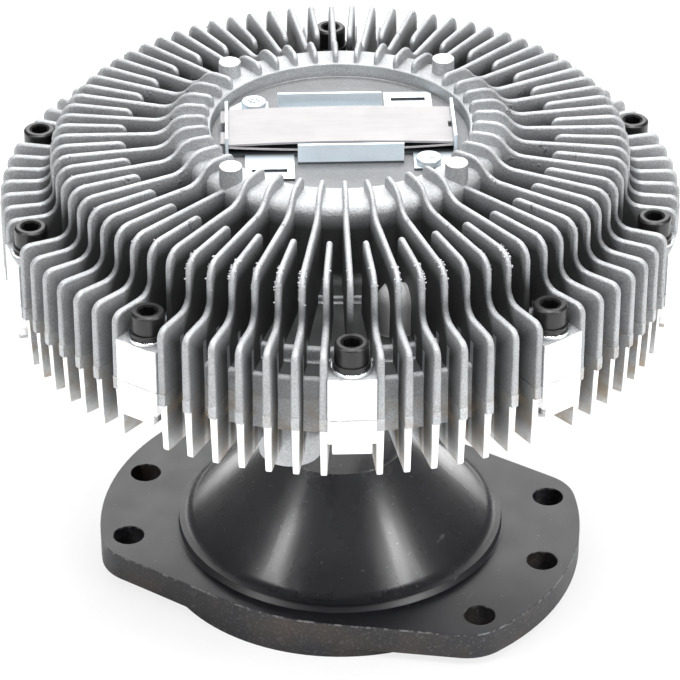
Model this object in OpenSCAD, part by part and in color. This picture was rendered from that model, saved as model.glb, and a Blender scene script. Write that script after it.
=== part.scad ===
// Viscous fan clutch: a finned two-part housing turns on a ball bearing around a flanged drive hub.
// A rotor on the hub shears silicone fluid between rings in the housing, and a pair of bimetal strips
// on the front lets a control pin out as the air warms, which opens the valve of the fluid store.
// The origin is the centre of the hub's seat face, and +Z runs forward along the shaft.

/* [Drive hub] */
// Radius of the seat face
seat_r = 77.8; // [76.6:0.2:80]
// Height of the bolting lobes above the seat face
lobe_h = 4; // [2:0.5:6]
// Draft of the forged edge between the lobes, from the seat face to the flange's top
edge_draft = 2.2; // [1.8:0.1:3]
// Thickness of the bolting lobes
lobe_t = 12; // [9:0.5:15]
// Outer radius of the bolting lobes
lobe_r = 102.3; // [100.5:0.1:106]
// Distance of the straight flanks of the lobes from the shaft
flank_r = 76.2; // [75.8:0.1:77.4]
// Corner radius at the ends of the lobes
lobe_corner_r = 20; // [14:0.5:24]
// Distance from a flange hole's centre to the rim of its lobe
lobe_edge = 11.6; // [10:0.1:14]
// Diameter of the flange holes
flange_hole_d = 13; // [9:0.5:14]
// Angle between neighbouring flange holes
flange_hole_step = 30; // [27:1:32]
// Radius of the raised foot round the cone
foot_r = 69; // [66:0.5:71]
// Height of the raised foot
foot_h = 3.6; // [2:0.2:5]
// Width of the flat lip on top of the foot
foot_lip = 0.6; // [0.4:0.2:3]
// Slope of the cone, measured from the shaft
cone_angle = 45; // [40:1:48]
// Radius of the neck above the cone
neck_r = 28; // [27:0.5:30]
// Radius of the relief in the seat face
relief_r = 40; // [32:1:50]
// Depth of the relief in the seat face
relief_h = 24; // [12:1:26]

/* [Bearing] */
// Height of the rear face of the bearing above the seat face
bearing_z = 120; // [117:0.5:122]
// Radius of the shaft in the bearing
bearing_bore_r = 25; // [23.5:0.5:25.5]
// Outer radius of the bearing
bearing_r = 45; // [44.5:0.5:47]
// Width of the bearing
bearing_w = 20; // [19:0.5:21]
// Radius of the bearing balls
ball_r = 6.35; // [5.5:0.05:6.5]
// Number of bearing balls
ball_count = 10; // [8:1:12]
// Gap between the balls and their grooves
race_gap = 0.1; // [0.05:0.01:0.15]
// Thickness of the bearing seals
seal_t = 1.5; // [1:0.1:1.8]
// Thickness of the ring that retains the bearing
retainer_t = 2.5; // [1.5:0.1:3]

/* [Rotor] */
// Gap between the rim of the rotor and the wall of the chamber
rim_gap = 2; // [1:0.1:3]
// Number of rings on each face of the rotor
ring_count = 7; // [4:1:7]
// Wall thickness of the rings
ring_w = 2; // [1.4:0.1:2]
// Running gap between a ring of the rotor and a ring of the housing
ring_gap = 0.5; // [0.4:0.05:0.6]
// Running gap between the rotor and the flat walls of the chamber
rotor_gap = 1; // [0.6:0.1:1.4]
// Thickness of the rotor disc
rotor_t = 5; // [4:0.5:6]

/* [Housing] */
// Height of the joint between cover and body above the seat face
seam_z = 155.2; // [153:0.2:158]
// Number of cover screws
screw_count = 10; // [10:2:12]
// Radius of the circle of cover screws
screw_circle_r = 128; // [127:0.5:130]
// Turn of the housing at rest, from +X to the first screw
housing_turn = -67.1; // [-180:0.1:180]
// Radius of the wall that closes the fluid chamber
rim_r = 123; // [121:0.5:124]
// Radius of the fluid chamber
chamber_r = 108; // [107.5:0.5:109]
// Thickness of the front wall of the chamber
deck_t = 6; // [5:0.5:7]
// Thickness of the rear wall of the chamber
floor_t = 6; // [5:0.5:7]
// Width of the screw lugs
lug_w = 18.5; // [17:0.5:20]
// Distance of the outer face of the screw lugs from the shaft
lug_r = 136.4; // [135.5:0.1:137.5]
// Width of the groove for the cover seal
groove_w = 4; // [3:0.2:5]
// Depth of the groove for the cover seal
groove_h = 2.6; // [2:0.1:3]

/* [Front cover] */
// Height of the outer ledge above the joint
ledge_h = 9.5; // [8:0.5:11]
// Height of the deck above the joint
deck_h = 16; // [14:0.5:17]
// Radius of the deck
deck_r = 112; // [110.5:0.5:114]
// Radius of the raised land on the deck round the central boss
land_r = 78.5; // [76:0.5:82]
// Height of the raised land above the deck
land_h = 2.2; // [1:0.2:3]
// Height of the screw seats above the joint
lug_h = 17.9; // [17.5:0.1:19]
// Radius of the wall of the central boss
boss_r = 66.5; // [65.5:0.5:68]
// Height of the central boss above the joint
boss_h = 51; // [49:0.5:52]
// Rounding of the shoulder of the central boss
boss_round = 4.5; // [2:0.5:6]
// Fillet where the central boss meets the deck
boss_fillet = 4; // [2:0.5:6]
// Radius of the recess that holds the bimetal strips
recess_r = 51.5; // [51:0.5:53]
// Depth of the recess that holds the bimetal strips
recess_h = 6; // [5:0.5:7]
// Thickness of the wall between the recess and the fluid store
recess_t = 6.5; // [6.2:0.1:8]
// Radius of the fluid store
store_r = 55; // [53:0.5:56]
// Radius of the four cast posts on the boss
post_r = 4.6; // [3:0.1:5]
// Radius of the circle of cast posts
post_circle_r = 61.5; // [60:0.5:62]
// Height of the cast posts above the joint
post_h = 57; // [55:0.5:59]
// Radius of the domed boss on the deck
dome_r = 7.2; // [4:0.1:7.5]
// Distance of the domed boss from the shaft
dome_circle_r = 99; // [92:1:104]
// Height of the domed boss above the joint
dome_h = 35.5; // [28:0.5:40]

/* [Fins] */
// Thickness of the fins at their highest crest
fin_crest_t = 2; // [1.6:0.1:2.4]
// Thickness of the fins at the joint
fin_root_t = 3.4; // [2.8:0.1:4]
// Thickness of the rear fins at their tips
fin_tip_t = 2.3; // [1.8:0.1:2.8]
// Radius at which the long fins start
fin_start_r = 52.4; // [51.9:0.1:53.4]
// Radius at which the short fins start
short_start_r = 85; // [80:1:95]
// Height of the crest over the central boss, above the joint
crest_boss_h = 56; // [54:0.5:58]
// Height of the main crest above the joint
crest_main_h = 48.3; // [45:0.1:49]
// Height of the outer crest above the joint
crest_outer_h = 27.7; // [25:0.1:30]
// Radius at which the crest leaves the boss level
bend_start_r = 63; // [61:0.5:64]
// Radius at which the crest reaches the main level
bend_end_r = 72.5; // [70:0.5:75]
// Radius at which the crest drops to the outer level
step_r = 115.3; // [114:0.1:117]
// Rounding above the drop of the crest
step_round = 6.8; // [4:0.2:8]
// Fillet below the drop of the crest
step_fillet = 5.5; // [3:0.5:7]
// Outer radius of the fins
fin_r = 135.8; // [135.5:0.1:138]
// Rounding of the outer corner of the fins
fin_round = 4; // [2:0.5:5]
// Rounding of the inner ends of the fins
fin_tip_round = 3.2; // [2:0.2:4]

/* [Rear body] */
// Height of the rim wall below the joint
rim_h = 14.5; // [13.5:0.5:16]
// Height of the band at the edge of the rear fins
band_h = 5.6; // [4:0.2:8]
// Set-back of the rear fins behind the band
band_step = 1.3; // [0.5:0.1:2]
// Taper of the rear fins' outer edge from band to tip
rear_taper = 3; // [1:0.5:5]
// Height of the rear fins below the joint
rear_fin_h = 27; // [25:0.5:29]
// Radius at which the long rear fins start
rear_start_r = 68; // [65:0.5:75]
// Radius at which the short rear fins start
rear_short_r = 96; // [90:1:104]
// Height of the screw lugs below the joint
rear_lug_h = 15; // [14.6:0.1:18]
// Width of the screw lugs below the web that joins them to the rear fins
rear_lug_w = 15; // [13.5:0.5:15.5]
// Height of the web that joins the screw lugs to the rear fins
rear_web_h = 10.5; // [8:0.5:13]
// Radius of the sleeve that holds the bearing
sleeve_r = 61; // [58:0.5:63]
// Reach of the bearing sleeve behind the bearing
sleeve_reach = 8; // [5:0.5:10]
// Depth of the fan bosses below the joint
fan_boss_h = 36.4; // [34:0.2:38]
// Radius of the fan bosses
fan_boss_r = 12.2; // [9:0.1:13]
// Radius of the circle of fan bosses
fan_circle_r = 103; // [98:0.5:105]
// Number of fan bosses
fan_count = 6; // [4:1:8]
// Turn of the fan bosses from the first screw
fan_turn = -12.5; // [-20:0.5:20]
// Diameter of the tapping hole in the fan bosses
fan_hole_d = 8.5; // [6:0.5:10.5]
// Depth of the tapping hole in the fan bosses
fan_hole_h = 20; // [14:1:22]

/* [Fasteners] */
// Thread diameter of the cover screws
screw_d = 8; // [6:0.5:8]
// Length of the cover screws under the head
screw_l = 38; // [36:1:44]
// Diameter of the cover screw heads
head_d = 13; // [11:0.5:13]
// Height of the cover screw heads
head_h = 8; // [6:0.5:9]
// Width across the flats of the hex socket
socket_w = 6; // [4:0.5:7]
// Depth of the hex socket
socket_h = 4; // [3:0.5:5]
// Diameter of the countersink at the mouth of the hex socket
socket_mouth_d = 8.8; // [8.2:0.1:9.4]
// Outer diameter of the lock washers
lock_d = 14.4; // [13.5:0.1:15]
// Thickness of the lock washers
lock_t = 2; // [1.5:0.1:2.5]
// Outer diameter of the flat washers
washer_d = 16; // [15:0.5:16.5]
// Thickness of the flat washers
washer_t = 1.6; // [1.2:0.1:2]
// Clearance round a screw in its hole
hole_gap = 0.5; // [0.3:0.1:0.7]
// Clearance between parts that fit closely
fit_gap = 0.05; // [0.02:0.01:0.08]

/* [Bimetal and bracket] */
// Thickness of the bracket's sheet metal
sheet_t = 1.2; // [0.8:0.1:1.5]
// Distance between the outer faces of the bracket's end plates
bracket_l = 91.2; // [88:0.2:93]
// Width of the bracket's end plates
end_w = 31; // [30:0.5:33]
// Height of the bracket's upturned plates
upturn_h = 8.6; // [8.2:0.1:9.5]
// Distance between the outer faces of the bracket's side tabs
side_span = 44; // [42:0.5:46]
// Width of the bracket's side tabs
side_w = 41.6; // [38:0.2:44]
// Offset of the side tabs along the strips
side_shift = 3.6; // [2:0.2:5]
// Distance from the shaft to a bracket screw, along the strips
bracket_screw_x = 34; // [33:0.5:35]
// Distance from the shaft to a bracket screw, across the strips
bracket_screw_y = 24.2; // [23:0.2:25]
// Thread diameter of the bracket screws
bracket_screw_d = 5; // [4:0.5:5]
// Length of the bracket screws under the head
bracket_screw_l = 6.4; // [5.5:0.1:6.8]
// Diameter of the bracket screw heads
pan_d = 10; // [8:0.5:10.5]
// Height of the bracket screw heads
pan_h = 2.8; // [2:0.1:3.2]
// Length of the slots in the bracket's plain feet
slot_l = 13.8; // [6:0.2:14]
// Width of the slots in the bracket's plain feet
slot_w = 3; // [1:0.2:3.4]
// Width of the bimetal strips
strip_w = 29; // [24:0.5:29.5]
// Thickness of each bimetal strip
strip_t = 0.9; // [0.7:0.1:1]
// Height of the strips' ends above the recess floor
strip_h = 5.1; // [4.9:0.1:5.6]
// Bow of the upper strip
upper_bow = 1.1; // [0.5:0.1:1.5]
// Reach of the strips' tongues through the end plates
tongue_l = 1.8; // [1:0.2:2.4]
// Width of the strips' tongues
tongue_w = 9.4; // [4:0.2:9.4]
// Distance from the strip's long edge to a tongue
tongue_inset = 1.1; // [0.2:0.1:2]
// Width of the notch between the tongues at one end of the upper strip
notch_w = 4.6; // [3:0.2:5]
// Depth of the notch between the tongues at one end of the upper strip
notch_l = 1.4; // [1:0.2:2]

/* [Valve] */
// Thickness of the plate that closes the fluid store
plate_t = 2; // [1.5:0.1:2.5]
// Radius of the plate that closes the fluid store
plate_r = 63.5; // [62.5:0.5:64]
// Radius of the control pin
pin_r = 3; // [2:0.1:3.5]
// Running clearance of the control pin in its bore
pin_gap = 0.05; // [0.02:0.01:0.08]
// Travel of the control pin, which flattens the lower strip by as much
pin_travel = 1.5; // [1:0.1:1.6]
// Thickness of the valve arm
arm_t = 0.8; // [0.6:0.1:1]
// Width of the valve arm
arm_w = 12; // [9:0.5:14]
// Distance from the arm's hinge edge to the control pin
arm_back = 38; // [35:0.5:42]
// Distance from the control pin to the valve hole
arm_front = 28; // [24:0.5:32]
// Radius of the valve hole
valve_r = 4.5; // [3:0.5:6]
// Thread diameter of the plate screws
plate_screw_d = 4; // [3:0.5:4]
// Number of plate screws
plate_screw_count = 4; // [3:1:6]

/* [Hidden] */
$fn = 96;

// Overlap that lets joined solids and cuts pass cleanly through each other
bite = 2;
// Smoothness of shallow arcs of large radius
arc_fn = 720;
// Points on a rounded corner of a profile
corner_n = 4;
// Small gap between neighbouring faces of one body
rest_gap = 0.1;
// Gap at the ends of the control pin, which touch their neighbours only under load
touch_gap = 0.3;

// Drive hub levels and radii
flange_z = lobe_h + lobe_t;
flange_circle_r = lobe_r - lobe_edge;
foot_z = flange_z + foot_h;
foot_draft = 3.4;
cone_foot_r = foot_r - foot_lip - foot_draft;
cone_top_z = foot_z + (cone_foot_r - neck_r) / tan(cone_angle);
lobe_corner_c = lobe_r - lobe_corner_r;
lobe_tangent = acos((flank_r - lobe_corner_r) / lobe_corner_c);
cone_round = 9;
stake_t = 2.5;
stake_w = 2.5;

// Bearing levels and radii
bearing_top_z = bearing_z + bearing_w;
bearing_mid_z = bearing_z + bearing_w / 2;
ball_circle_r = (bearing_bore_r + bearing_r) / 2;
groove_r = ball_r + race_gap;
race_land = 4;
inner_land_r = ball_circle_r - race_land;
outer_land_r = ball_circle_r + race_land;
seal_seat_w = 1.2;
seal_seat_h = 2.3;
seal_lip_gap = 0.3;
cage_half_w = 1.7;
cage_gap = 0.5;
cage_half_h = bearing_w / 2 - seal_seat_h - cage_gap;
retainer_w = 4;
retainer_bite = 1.6;
retainer_gap_angle = 14;

// Chamber levels
floor_under_z = seam_z - rim_h;
floor_z = floor_under_z + floor_t;
deck_z = seam_z + deck_h;
ceiling_z = deck_z - deck_t;
rotor_mid_z = (floor_z + ceiling_z) / 2;
rotor_low_z = rotor_mid_z - rotor_t / 2;
rotor_high_z = rotor_mid_z + rotor_t / 2;
ring_pitch = 2 * (ring_w + ring_gap);
rotor_r = chamber_r - rim_gap;
ring_start_r = rotor_r - ring_w - ring_pitch * (ring_count - 1);
rotor_hub_step = 1;
rotor_hub_r = inner_land_r - rotor_hub_step;
rotor_seat_r = bearing_bore_r - stake_w;
transfer_hole_r = 4.5;
transfer_circle_r = 52;
transfer_count = 6;
bearing_lip_w = 5;

// Cover levels
ledge_z = seam_z + ledge_h;
land_z = deck_z + land_h;
lug_z = seam_z + lug_h;
boss_z = seam_z + boss_h;
recess_z = boss_z - recess_h;
store_top_z = recess_z - recess_t;
plate_top_z = ceiling_z + plate_t;
guide_r = 10;
guide_h = 8;
pin_seal_w = 2.4;
pin_seal_h = 2.8;

// Fin pattern: eight fins for each screw, every second one long
fins_per_screw = 8;
fin_count = fins_per_screw * screw_count;
fin_step = 360 / fin_count;
post_count = 4;
post_fin = fin_count / post_count / 2;
dome_turn = 10.3;
crest_boss_z = seam_z + crest_boss_h;
crest_main_z = seam_z + crest_main_h;
crest_outer_z = seam_z + crest_outer_h;
rear_tip_z = seam_z - rear_fin_h;
rear_lug_z = seam_z - rear_lug_h;
rear_web_z = seam_z - rear_web_h;
fan_boss_z = seam_z - fan_boss_h;
sleeve_z = bearing_z - sleeve_reach;
bend_n = 6;

// Screw stack on the lugs
head_low_z = lug_z + washer_t + lock_t;
head_high_z = head_low_z + head_h;
screw_low_z = head_low_z - screw_l;
screw_hole_r = screw_d / 2 + hole_gap;
groove_mid_r = (chamber_r + screw_circle_r - screw_hole_r) / 2;
lock_slit_w = 1.2;
lock_slit_tilt = 20;
lock_turn = 140;
head_chamfer = 0.8;
washer_room = 0.3;
socket_d = socket_w / cos(30);
socket_mouth_h = (socket_mouth_d - socket_d) / 2 * tan(30);

// Bracket, strips and valve levels
sheet_z = recess_z + sheet_t;
strip_z = recess_z + strip_h;
strip_l = bracket_l - 2 * sheet_t - 2 * rest_gap;
strip_gap = 0.02;
tongue_y = (strip_w - tongue_w) / 2 - tongue_inset;
spare_bow = 0.1;
lower_bow = pin_travel + spare_bow;
foot_reach = 35;
foot_left = -38;
foot_right = -18.6;
foot_room = 0.9;
screw_foot_inner = 5.8;
screw_foot_outer = 9.8;
screw_foot_front = 4.2;
screw_foot_cut = 4.6;
slot_x = -28.4;
slot_y = -28.8;
pin_hole_r = 6;
upper_strip_mid_z = strip_z - strip_t / 2;
lower_strip_mid_z = upper_strip_mid_z - strip_t - strip_gap;
lower_strip_low_z = lower_strip_mid_z - strip_t / 2 - lower_bow;
pin_low_z = plate_top_z + arm_t + touch_gap;
pin_high_z = lower_strip_low_z - touch_gap;
rivet_r = 2;
rivet_head_r = 4;
rivet_head_h = 1.4;
rivet_lift = 0.5;
rivet_back = 6;
valve_overlap = 4;
plate_screw_lip = 1.6;
plate_screw_head_r = plate_screw_d / 2 + plate_screw_lip;
plate_screw_head_h = plate_screw_d / 2;
plate_screw_l = 12;
plate_screw_turn = 45;
plate_screw_circle_r = (store_r + plate_r) / 2;

// Points of an arc about a centre, from one angle to another
function arc(centre, radius, from, to, n = corner_n) =
    [for (i = [0:n]) centre + radius * [cos(from + (to - from) * i / n), sin(from + (to - from) * i / n)]];

// Points of a smooth bend that leaves one level and reaches another
function bend(from, to, n = bend_n) =
    [for (i = [0:n]) [from.x + (to.x - from.x) * i / n, to.y + (from.y - to.y) * (1 + cos(180 * i / n)) / 2]];

// Radius of the circle through the ends and the middle of a bowed strip
function bow_r(chord, bow) = (chord * chord / 4 + bow * bow) / (2 * bow);

// Places its children in the frame of the housing, where the first screw is at +X
module in_housing() {
    rotate([0, 0, housing_turn]) children();
}

// Places its children in the frame of the bracket, where the strips run along X
module in_bracket() {
    rotate([0, 0, housing_turn + 90]) children();
}

// Repeats its children round the shaft
module around(count, radius = 0, start = 0) {
    for (i = [0:count - 1]) rotate([0, 0, start + 360 * i / count]) translate([radius, 0, 0]) children();
}

// Plate between two levels
module slab(low, high) {
    translate([0, 0, low]) linear_extrude(high - low) children();
}

// Upright cylinder between two levels
module rod(radius, low, high) {
    translate([0, 0, low]) cylinder(r = radius, h = high - low);
}

// Ring between two levels
module ring(inner, outer, low, high) {
    rotate_extrude() translate([inner, low]) square([outer - inner, high - low]);
}

// Outline of one bolting lobe: an arc about the shaft, two round corners, and straight flanks
module lobe_outline() {
    intersection() {
        circle(r = lobe_r);
        polygon([
            [0, 0],
            2 * lobe_r * [cos(flange_hole_step), -sin(flange_hole_step)],
            2 * lobe_r * [cos(flange_hole_step), sin(flange_hole_step)]
        ]);
    }
    for (side = [-1, 1]) {
        corner = lobe_corner_c * [cos(flange_hole_step), side * sin(flange_hole_step)];
        normal = [cos(flange_hole_step + lobe_tangent), side * sin(flange_hole_step + lobe_tangent)];
        translate(corner) circle(r = lobe_corner_r);
        polygon([[0, 0], flank_r * normal, corner + lobe_corner_r * normal, corner]);
    }
}

module drive_hub() {
    color([0.1, 0.1, 0.11]) difference() {
        union() {
            slab(lobe_h, flange_z) {
                lobe_outline();
                rotate(180) lobe_outline();
            }
            rotate_extrude() polygon(concat(
                [[0, 0], [seat_r, 0], [seat_r - edge_draft, flange_z]],
                [[foot_r, flange_z], [foot_r - foot_draft, foot_z]],
                arc(
                    [cone_foot_r, foot_z] + cone_round * [tan(cone_angle / 2), 1],
                    cone_round, 270, 180 + cone_angle
                ),
                [[neck_r, cone_top_z], [neck_r, bearing_z], [bearing_bore_r - fit_gap, bearing_z]],
                [[bearing_bore_r - fit_gap, bearing_top_z], [rotor_seat_r - fit_gap, bearing_top_z]],
                [[rotor_seat_r - fit_gap, rotor_high_z], [rotor_seat_r + stake_w, rotor_high_z]],
                [[rotor_seat_r + stake_w / 2, rotor_high_z + stake_t], [0, rotor_high_z + stake_t]]
            ));
        }
        translate([0, 0, -bite]) cylinder(r = relief_r, h = relief_h + bite);
        for (turn = [0, 180], i = [-1:1])
            rotate([0, 0, turn + i * flange_hole_step]) translate([flange_circle_r, 0, -bite])
                cylinder(d = flange_hole_d, h = flange_z + 2 * bite);
    }
}

module bearing_inner_ring() {
    color([0.7, 0.71, 0.73]) difference() {
        ring(bearing_bore_r, inner_land_r, bearing_z, bearing_top_z);
        ball_groove();
    }
}

module bearing_outer_ring() {
    color([0.7, 0.71, 0.73]) difference() {
        ring(outer_land_r, bearing_r - fit_gap, bearing_z, bearing_top_z);
        ball_groove();
        rod(outer_land_r + seal_seat_w, bearing_z - bite, bearing_z + seal_seat_h);
        rod(outer_land_r + seal_seat_w, bearing_top_z - seal_seat_h, bearing_top_z + bite);
    }
}

// Groove that the balls run in, cut in both rings
module ball_groove() {
    translate([0, 0, bearing_mid_z]) rotate_extrude() translate([ball_circle_r, 0]) circle(r = groove_r);
}

module bearing_balls() {
    color([0.85, 0.86, 0.88]) around(ball_count, ball_circle_r)
        translate([0, 0, bearing_mid_z]) sphere(r = ball_r);
}

module bearing_cage() {
    color([0.62, 0.55, 0.35]) difference() {
        ring(
            ball_circle_r - cage_half_w, ball_circle_r + cage_half_w,
            bearing_mid_z - cage_half_h, bearing_mid_z + cage_half_h
        );
        around(ball_count, ball_circle_r) translate([0, 0, bearing_mid_z]) rotate([0, 90, 0])
            cylinder(r = groove_r, h = 2 * (cage_half_w + bite), center = true);
    }
}

module bearing_seals() {
    color([0.16, 0.16, 0.17]) for (low = [bearing_z + seal_seat_h - seal_t, bearing_top_z - seal_seat_h])
        ring(inner_land_r + seal_lip_gap, outer_land_r + seal_seat_w - fit_gap, low, low + seal_t);
}

module bearing_retaining_ring() {
    color([0.3, 0.3, 0.31]) in_housing() difference() {
        ring(
            bearing_r + retainer_bite - retainer_w, bearing_r + retainer_bite - fit_gap,
            bearing_z - retainer_t, bearing_z
        );
        slab(bearing_z - retainer_t - bite, bearing_z + bite) rotate(-retainer_gap_angle / 2) polygon([
            [0, 0],
            2 * bearing_r * [1, 0],
            2 * bearing_r * [cos(retainer_gap_angle), sin(retainer_gap_angle)]
        ]);
    }
}

module rotor_disc() {
    color([0.66, 0.67, 0.68]) difference() {
        union() {
            ring(rotor_seat_r, rotor_hub_r, bearing_top_z, rotor_high_z);
            ring(rotor_seat_r, rotor_r, rotor_low_z, rotor_high_z);
            for (i = [0:ring_count - 1])
                ring(
                    ring_start_r + ring_pitch * i, ring_start_r + ring_pitch * i + ring_w,
                    floor_z + rotor_gap, ceiling_z - rotor_gap
                );
        }
        around(transfer_count, transfer_circle_r)
            rod(transfer_hole_r, rotor_low_z - bite, rotor_high_z + bite);
    }
}

// Rings of the housing that stand between the rings of the rotor
module housing_rings(low, high) {
    for (i = [0:ring_count - 2])
        ring(
            ring_start_r + ring_pitch * i + ring_w + ring_gap, ring_start_r + ring_pitch * (i + 1) - ring_gap,
            low, high
        );
}

// Wall of one fin: a radial slab with draft from one level to another, at a step of the fin pattern
module fin_wall(step, low, high, low_t, high_t) {
    rotate([0, 0, step * fin_step]) rotate([90, 0, 90]) linear_extrude(fin_r + bite)
        polygon([[-low_t / 2, low], [low_t / 2, low], [high_t / 2, high], [-high_t / 2, high]]);
}

// Flat fin of a given outline, radius against height, thick enough to be trimmed by its wall
module fin_blade(step, points) {
    rotate([0, 0, step * fin_step]) rotate([90, 0, 0])
        linear_extrude(2 * fin_root_t, center = true) polygon(points);
}

// Part of a front fin's outline that lies inside the casting
function front_root(start, start_z) = [
    [deck_r - bite, ledge_z - bite], [deck_r - bite, deck_z - bite],
    [max(start, boss_r - bite), deck_z - bite], [max(start, boss_r - bite), start_z], [start, start_z]
];

// Crest of a front fin from the main level to the joint
function crest_rim() = concat(
    arc([step_r - step_round, crest_main_z - step_round], step_round, 90, 0),
    arc([step_r + step_fillet, crest_outer_z + step_fillet], step_fillet, 180, 270),
    arc([fin_r - fin_round, crest_outer_z - fin_round], fin_round, 90, 0),
    [[fin_r, seam_z - bite], [rim_r - bite, seam_z - bite], [rim_r - bite, ledge_z - bite]]
);

// Crest of a front fin that ends behind a screw
function crest_short_of_screw() = concat(
    arc([step_r - step_round, crest_main_z - step_round], step_round, 90, 0),
    [[step_r, ledge_z - bite]]
);

// Inner end of a long fin, over the central boss and down to the main level
function crest_over_boss() = concat(
    [[fin_start_r, boss_z - bite]],
    arc([fin_start_r + fin_tip_round, crest_boss_z - fin_tip_round], fin_tip_round, 180, 90),
    bend([bend_start_r, crest_boss_z], [bend_end_r, crest_main_z])
);

module front_fin(step) {
    long = step % 2 == 0;
    at_screw = step % fins_per_screw == 0;
    at_post = step % (2 * post_fin) == post_fin;
    over_boss = long && !at_post;
    start = over_boss ? fin_start_r : long ? boss_r - bite : short_start_r;
    root_z = over_boss ? boss_z - bite : deck_z - bite;
    head = over_boss
        ? crest_over_boss()
        : arc([start + fin_tip_round, crest_main_z - fin_tip_round], fin_tip_round, 180, 90);
    tail = at_screw ? crest_short_of_screw() : crest_rim();
    difference() {
        intersection() {
            fin_blade(step, concat(head, tail, front_root(start, root_z)));
            fin_wall(step, seam_z - 2 * bite, crest_boss_z + bite, fin_root_t, fin_crest_t);
        }
        if (at_screw) rotate([0, 0, step * fin_step]) translate([screw_circle_r, 0, 0])
            rod(washer_d / 2 + washer_room, seam_z, crest_boss_z);
    }
}

module rear_fin(step) {
    start = step % 2 == 0 ? rear_start_r : rear_short_r;
    edge_r = fin_r - band_step;
    intersection() {
        fin_blade(step, [
            [rim_r - bite, seam_z + bite], [fin_r, seam_z + bite], [fin_r, seam_z - band_h],
            [edge_r, seam_z - band_h], [edge_r - rear_taper, rear_tip_z], [start + fin_round, rear_tip_z],
            [start, rear_tip_z + fin_round], [start, floor_under_z + bite],
            [rim_r - bite, floor_under_z + bite]
        ]);
        fin_wall(step, rear_tip_z - bite, seam_z + 2 * bite, fin_tip_t, fin_root_t);
    }
}

// Screw lug of a given outline, breadth against height, from the chamber wall to its outer face
module lug() {
    rotate([90, 0, 90]) translate([0, 0, rim_r - bite]) linear_extrude(lug_r - rim_r + bite) children();
}

// Rectangle of a given breadth about the middle, between two levels
module upright(breadth, low, high) {
    translate([-breadth / 2, low]) square([breadth, high - low]);
}

// All that reaches past the joint on one side, which is cut off in one plane
module past_joint(low, high) {
    slab(low, high) circle(r = fin_r + 2 * bite);
}

module front_cover() {
    color([0.72, 0.72, 0.72]) in_housing() difference() {
        union() {
            cover_shell();
            for (step = [0:fin_count - 1]) front_fin(step);
            around(screw_count) lug() upright(lug_w, seam_z - bite, lug_z);
            around(post_count, post_circle_r, post_fin * fin_step)
                rod(post_r, boss_z - bite, seam_z + post_h);
            rotate([0, 0, dome_turn]) translate([dome_circle_r, 0, 0]) {
                rod(dome_r, deck_z - bite, seam_z + dome_h - dome_r);
                translate([0, 0, seam_z + dome_h - dome_r]) sphere(r = dome_r);
            }
        }
        past_joint(seam_z - 2 * bite, seam_z);
        around(screw_count, screw_circle_r) rod(screw_hole_r, seam_z - bite, lug_z + bite);
        around(plate_screw_count, plate_screw_circle_r, plate_screw_turn)
            rod(plate_screw_d / 2 + fit_gap, ceiling_z - bite, ceiling_z + plate_screw_l);
        rod(pin_r + pin_gap, store_top_z - guide_h - bite, recess_z + bite);
        rod(pin_r + pin_seal_w, recess_z - pin_seal_h, recess_z + bite);
        rotate([0, 0, 90]) for (side = [-1, 1])
            translate([side * bracket_screw_x, -side * bracket_screw_y, 0])
                rod(bracket_screw_d / 2 + fit_gap, sheet_z - bracket_screw_l - rest_gap, recess_z + bite);
    }
}

// Turned form of the cover: rim, ledge, deck and boss outside, fluid store and chamber inside
module cover_shell() {
    rotate_extrude() difference() {
        polygon(concat(
            [[0, seam_z - bite], [rim_r, seam_z - bite]],
            [[rim_r, ledge_z], [deck_r, ledge_z], [deck_r, deck_z], [land_r, deck_z], [land_r, land_z]],
            arc([boss_r + boss_fillet, land_z + boss_fillet], boss_fillet, 270, 180),
            arc([boss_r - boss_round, boss_z - boss_round], boss_round, 0, 90),
            [[recess_r, boss_z], [recess_r, recess_z], [0, recess_z]]
        ));
        polygon([
            [-bite, seam_z - 2 * bite], [chamber_r, seam_z - 2 * bite], [chamber_r, ceiling_z],
            [plate_r + fit_gap, ceiling_z], [plate_r + fit_gap, plate_top_z], [store_r, plate_top_z],
            [store_r, store_top_z], [guide_r, store_top_z], [guide_r, store_top_z - guide_h],
            [-bite, store_top_z - guide_h]
        ]);
    }
    housing_rings(rotor_high_z + rotor_gap, ceiling_z + bite);
}

module rear_body() {
    color([0.7, 0.7, 0.7]) in_housing() difference() {
        union() {
            body_shell();
            for (step = [0:fin_count - 1]) if (step % fins_per_screw != 0) rear_fin(step);
            around(screw_count) lug() {
                upright(lug_w, rear_web_z, seam_z + bite);
                upright(rear_lug_w, rear_lug_z, rear_web_z + bite);
            }
            around(fan_count, fan_circle_r, fan_turn) rod(fan_boss_r, fan_boss_z, floor_under_z + bite);
        }
        past_joint(seam_z, seam_z + 2 * bite);
        around(screw_count, screw_circle_r) rod(screw_d / 2 + fit_gap, rear_lug_z - bite, seam_z + bite);
        around(fan_count, fan_circle_r, fan_turn)
            rod(fan_hole_d / 2, fan_boss_z - bite, fan_boss_z + fan_hole_h);
        ring(groove_mid_r - groove_w / 2, groove_mid_r + groove_w / 2, seam_z - groove_h, seam_z + bite);
    }
}

// Turned form of the body: chamber, rim and the sleeve that holds the bearing
module body_shell() {
    rotate_extrude() difference() {
        polygon([
            [bearing_r, sleeve_z], [sleeve_r, sleeve_z], [sleeve_r, floor_under_z], [rim_r, floor_under_z],
            [rim_r, seam_z + bite], [chamber_r, seam_z + bite], [chamber_r, floor_z],
            [bearing_r - bearing_lip_w, floor_z], [bearing_r - bearing_lip_w, bearing_top_z],
            [bearing_r, bearing_top_z]
        ]);
        translate([bearing_r - bite, bearing_z - retainer_t]) square([bite + retainer_bite, retainer_t]);
    }
    housing_rings(floor_z - bite, rotor_low_z - rotor_gap);
}

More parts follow.
